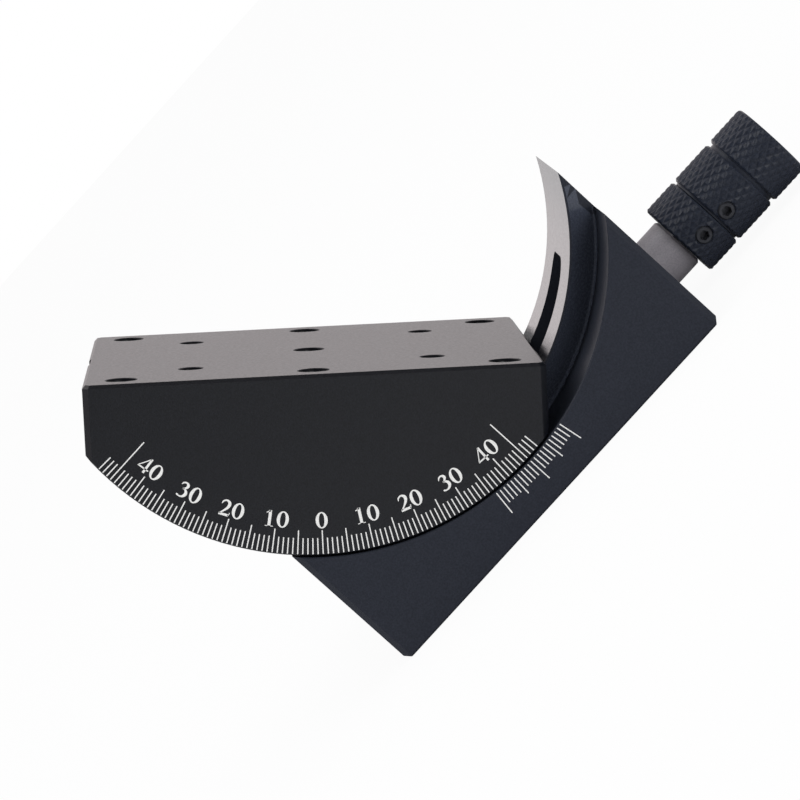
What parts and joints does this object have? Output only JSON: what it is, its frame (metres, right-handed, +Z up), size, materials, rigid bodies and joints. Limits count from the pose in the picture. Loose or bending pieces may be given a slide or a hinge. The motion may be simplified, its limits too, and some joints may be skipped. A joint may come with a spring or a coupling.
{
  "type": "goniometer stage",
  "caption": "Goniometer stage: a table on a dovetail arc guide, tilted by a worm from a knurled knob, with a vernier angle scale.",
  "frame": {"origin": "centre of the base's flat underside", "axes": "+Z up from the underside, +X along the base towards the knob, the scale face towards -Y. The tilt axis is parallel to Y, 44.7 mm above the underside. At rest the table stands at the +45 degree end of its travel, its top facing +X and +Z."},
  "size_m": [0.0914, 0.06, 0.0552],
  "materials": {
    "black_anodised": "satin black anodised",
    "black_anodised_knob": "black anodised, diamond knurled",
    "grey_sleeve": "fine turned",
    "steel": "ground",
    "bronze": "machined",
    "black_oxide": "black oxide"
  },
  "bodies": {
    "base": {"base_block": "black_anodised", "stop_pin": "steel", "sleeve_bush": "grey_sleeve", "sleeve_lock_screw": "black_oxide", "left_bush": "bronze", "end_plug": "black_anodised"},
    "table": {"table": "black_anodised", "worm_sector": "bronze", "sector_screws": "black_oxide", "gib": "bronze", "gib_screws": "black_oxide"},
    "worm_drive": {"worm_shaft": "steel", "worm": "steel", "worm_set_screw": "black_oxide", "spacer_tube": "steel", "thrust_washers": "steel", "preload_spring": "steel", "lock_ring": "black_anodised_knob", "lock_ring_screw": "black_oxide", "knob": "black_anodised_knob", "knob_screw": "black_oxide"}
  },
  "joints": [
    {"name": "table_tilt", "type": "hinge", "parent": "base", "child": "table", "pos_m": [0, 0, 0.0447], "axis": [0, 1, 0], "range_deg": [-90, 0]},
    {"name": "worm_turn", "type": "hinge", "parent": "base", "child": "worm_drive", "pos_m": [0, 0, 0.00691], "axis": [1, 0, 0], "range_deg": [-10900, 100]}
  ],
  "couplings": [
    {"joint": "worm_turn", "follows": "table_tilt", "ratio": 120}
  ]
}
